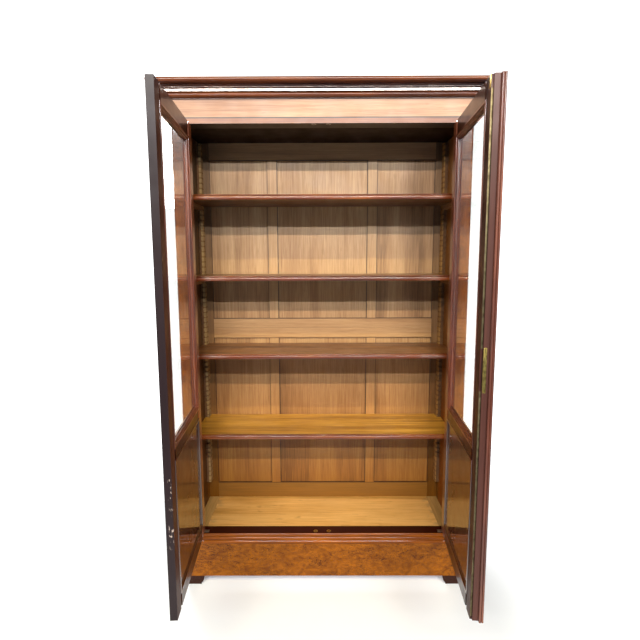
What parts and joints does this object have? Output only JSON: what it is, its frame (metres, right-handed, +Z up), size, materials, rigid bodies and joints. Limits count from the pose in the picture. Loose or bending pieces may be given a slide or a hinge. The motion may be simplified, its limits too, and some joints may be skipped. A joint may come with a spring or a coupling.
{
  "type": "glazed bookcase with adjustable shelves",
  "caption": "Tall bookcase with glazed doors, solid lower door panels, movable shelves on cleats in sawtooth racks, moulded cornice and plinth with bracket feet.",
  "frame": {"origin": "on the floor, under the middle of the bounding box with the doors standing open", "axes": "+X to the right seen from the front, +Y towards the back, +Z up; the doors face -Y"},
  "size_m": [1.478, 0.9702, 2.34],
  "materials": {
    "mahogany": "polished mahogany, high gloss",
    "dark_mahogany": "dark polished mahogany, mirror gloss",
    "burr": "polished burr veneer",
    "oak": "satin oak",
    "cleat_oak": "satin oak",
    "shelf_wood": "waxed, satin",
    "raw_wood": "bare wood, matt",
    "brass": "aged brass",
    "steel": "worn steel",
    "glass": "clear old glass"
  },
  "bodies": {
    "case": {"plinth": "burr", "left_front_post": "burr", "right_front_post": "burr", "base_moulding": "mahogany", "left_side": "mahogany", "right_side": "mahogany", "top_front_rail": "mahogany", "frieze": "mahogany", "cornice": "mahogany", "dust_board": "oak", "top_board": "oak", "bottom_board": "oak", "back_upper_frame": "oak", "back_lower_frame": "oak", "back_upper_left_panel": "oak", "back_upper_middle_panel": "oak", "back_upper_right_panel": "oak", "back_lower_left_panel": "oak", "back_lower_middle_panel": "oak", "back_lower_right_panel": "oak", "left_front_rack": "raw_wood", "left_rear_rack": "raw_wood", "right_front_rack": "raw_wood", "right_rear_rack": "raw_wood", "shelf_1_left_cleat": "cleat_oak", "shelf_1_right_cleat": "cleat_oak", "shelf_2_left_cleat": "cleat_oak", "shelf_2_right_cleat": "cleat_oak", "shelf_3_left_cleat": "cleat_oak", "shelf_3_right_cleat": "cleat_oak", "shelf_4_left_cleat": "cleat_oak", "shelf_4_right_cleat": "cleat_oak"},
    "left_door": {"left_door_hinge_stile": "mahogany", "left_door_meeting_stile": "mahogany", "left_door_top_rail": "mahogany", "left_door_middle_rail": "mahogany", "left_door_bottom_rail": "mahogany", "left_door_glazing_bead": "dark_mahogany", "left_door_lower_panel": "dark_mahogany", "left_door_top_pivot": "brass", "left_door_bottom_pivot": "brass", "left_door_glass": "glass"},
    "right_door": {"right_door_astragal": "mahogany", "right_door_hinge_stile": "mahogany", "right_door_meeting_stile": "mahogany", "right_door_top_rail": "mahogany", "right_door_middle_rail": "mahogany", "right_door_bottom_rail": "mahogany", "right_door_glazing_bead": "dark_mahogany", "right_door_lower_panel": "dark_mahogany", "right_door_top_pivot": "brass", "right_door_bottom_pivot": "brass", "right_door_glass": "glass", "right_door_lock": "brass"},
    "right_top_bolt": {"right_door_top_bolt": "steel"},
    "right_bottom_bolt": {"right_door_bottom_bolt": "steel"},
    "shelf_1": {"shelf_1": "shelf_wood"},
    "shelf_2": {"shelf_2": "shelf_wood"},
    "shelf_3": {"shelf_3": "shelf_wood"},
    "shelf_4": {"shelf_4": "shelf_wood"}
  },
  "joints": [
    {"name": "left_door_hinge", "type": "hinge", "parent": "case", "child": "left_door", "pos_m": [-0.59, 0.11608, 0], "axis": [0, 0, 1], "range_deg": [-4, 86]},
    {"name": "right_door_hinge", "type": "hinge", "parent": "case", "child": "right_door", "pos_m": [0.59, 0.11608, 0], "axis": [0, 0, -1], "range_deg": [-4, 86]},
    {"name": "top_bolt_slide", "type": "slide", "parent": "right_door", "child": "right_top_bolt", "axis": [0, 0, 1], "range_m": [0, 0.012]},
    {"name": "bottom_bolt_slide", "type": "slide", "parent": "right_door", "child": "right_bottom_bolt", "axis": [0, 0, -1], "range_m": [0, 0.012]},
    {"name": "shelf_1_lift", "type": "slide", "parent": "case", "child": "shelf_1", "axis": [0, 0, 1], "range_m": [0, 0.12]},
    {"name": "shelf_2_lift", "type": "slide", "parent": "case", "child": "shelf_2", "axis": [0, 0, 1], "range_m": [0, 0.12]},
    {"name": "shelf_3_lift", "type": "slide", "parent": "case", "child": "shelf_3", "axis": [0, 0, 1], "range_m": [0, 0.12]},
    {"name": "shelf_4_lift", "type": "slide", "parent": "case", "child": "shelf_4", "axis": [0, 0, 1], "range_m": [0, 0.12]}
  ],
  "couplings": [
    {"joint": "bottom_bolt_slide", "follows": "top_bolt_slide", "ratio": 1}
  ]
}
